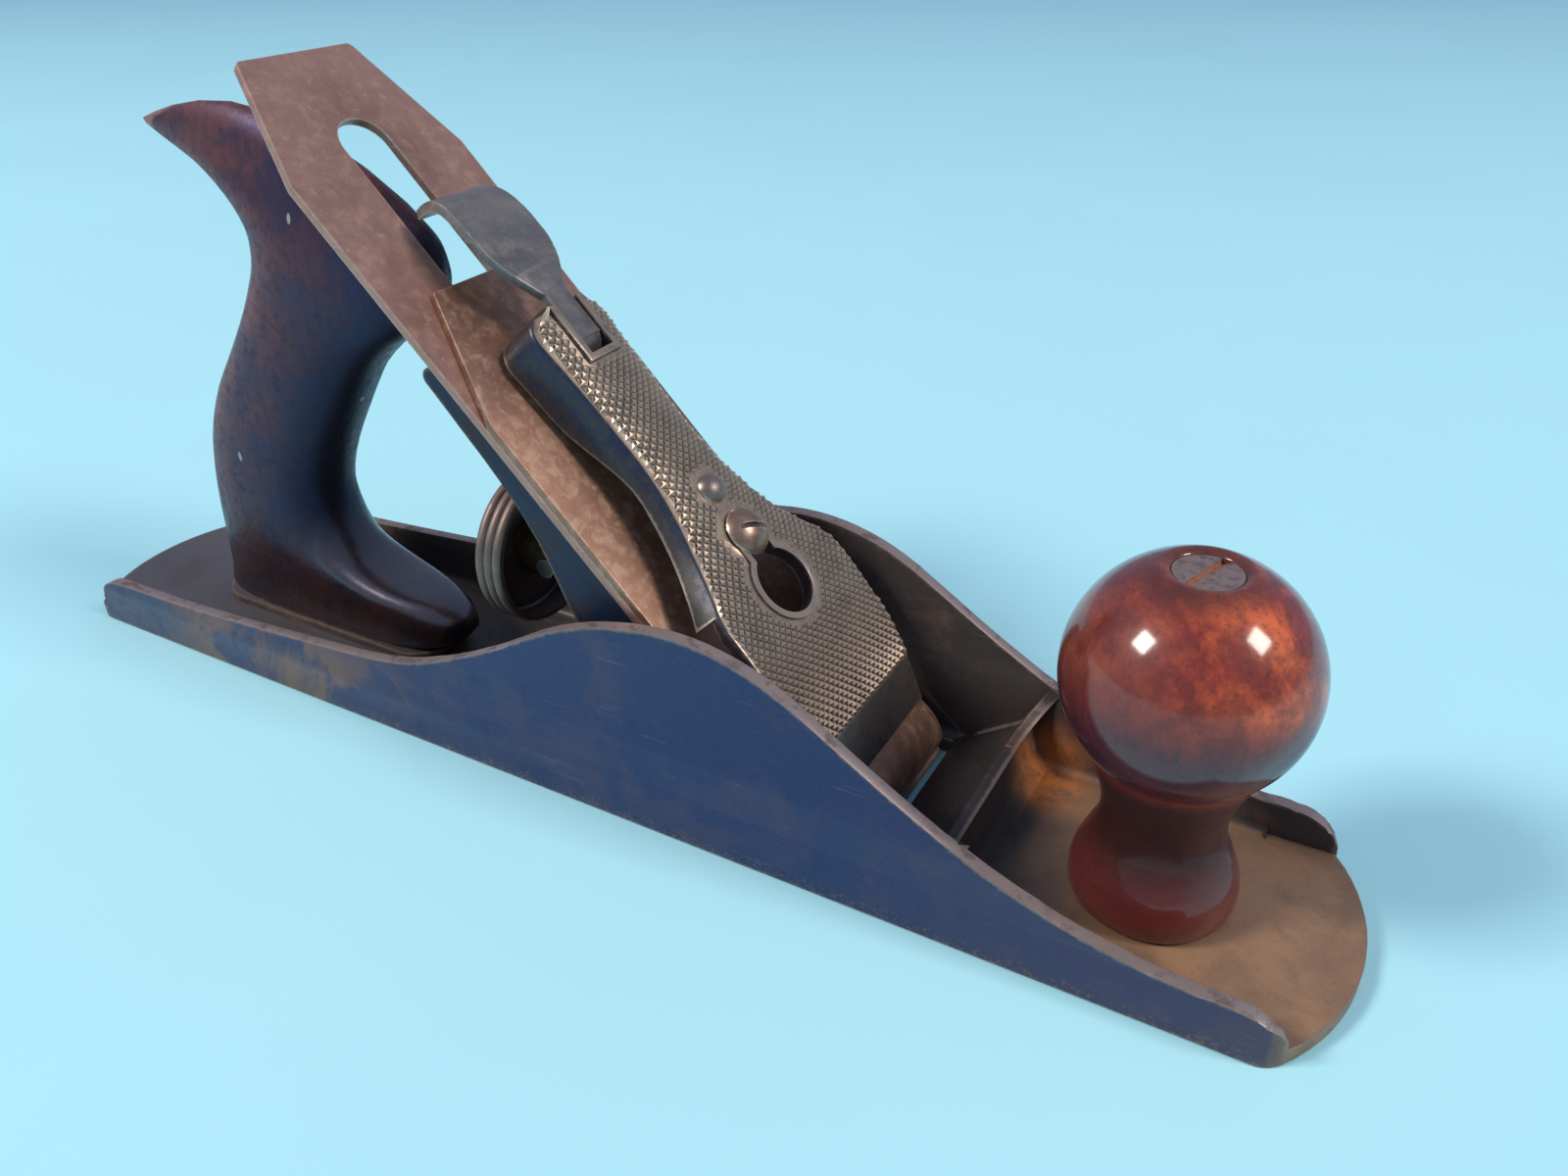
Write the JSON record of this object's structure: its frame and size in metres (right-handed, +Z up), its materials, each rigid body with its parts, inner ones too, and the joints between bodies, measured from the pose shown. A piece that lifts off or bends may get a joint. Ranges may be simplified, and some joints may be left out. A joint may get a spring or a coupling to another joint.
{
  "type": "jack plane",
  "caption": "Cast bench plane with a rear tote, front knob, sloping cutter under a knurled lever cap with a cam lever, and a depth wheel behind the frog.",
  "frame": {"origin": "centre of the sole's underside, on the bench the plane stands on", "axes": "+X from heel to toe, +Z up from the sole, +Y to the left of someone pushing the plane"},
  "size_m": [0.3556, 0.0636, 0.1554],
  "materials": {
    "casting": "dark blue enamel, worn to brown at the edges",
    "cutter": "brown patina",
    "cutter_cap": "coppery patina",
    "cap": "grey bronze knurl and blue black flanges",
    "lever": "dark blued steel with scratches",
    "spring": "dull blued steel",
    "wheel": "dull brown patina",
    "brass": "dull brass",
    "fasteners": "brown steel",
    "nuts": "dark brass, rusty slot",
    "tote_wood": "worn dark hardwood, satin",
    "knob_wood": "red brown hardwood, gloss"
  },
  "bodies": {
    "plane": {"body": "casting", "frog": "casting", "frog_screws": "fasteners", "frog_washers": "fasteners", "adjusting_stud": "fasteners", "yoke_pin": "fasteners", "lever_cap": "cap", "lever_cap_screw": "fasteners", "cap_spring": "spring", "spring_rivet": "fasteners", "lever_pin": "fasteners", "tote": "tote_wood", "tote_rod": "fasteners", "tote_nut": "nuts", "knob": "knob_wood", "knob_rod": "fasteners", "knob_nut": "nuts"},
    "cutter": {"iron": "cutter", "cap_iron": "cutter_cap", "cap_iron_screw": "fasteners"},
    "yoke": {"yoke_lever": "casting"},
    "bush": {"wheel_bush": "brass"},
    "wheel": {"adjusting_wheel": "wheel"},
    "lever": {"cam_lever": "lever"}
  },
  "joints": [
    {"name": "wheel_travel", "type": "slide", "parent": "plane", "child": "bush", "axis": [1, 0, 0], "range_m": [-0.00108, 0.00214]},
    {"name": "wheel_spin", "type": "hinge", "parent": "bush", "child": "wheel", "pos_m": [-0.02, 0, 0.0464], "axis": [1, 0, 0], "range_deg": [-715, 359]},
    {"name": "yoke_swing", "type": "hinge", "parent": "plane", "child": "yoke", "pos_m": [0.00796, 0, 0.05802], "axis": [0, 1, 0], "range_deg": [-10.57, 5.31]},
    {"name": "depth_feed", "type": "slide", "parent": "plane", "child": "cutter", "axis": [-0.6947, 0, 0.7193], "range_m": [-0.001, 0.002]},
    {"name": "cam_throw", "type": "hinge", "parent": "plane", "child": "lever", "pos_m": [-0.00332, 0, 0.10065], "axis": [0, 1, 0], "range_deg": [0, 80]}
  ],
  "couplings": [
    {"joint": "wheel_travel", "follows": "depth_feed", "ratio": 1.0466},
    {"joint": "yoke_swing", "follows": "depth_feed", "rad_per_m": -90.09},
    {"joint": "wheel_spin", "follows": "depth_feed", "rad_per_m": -6215.3}
  ]
}
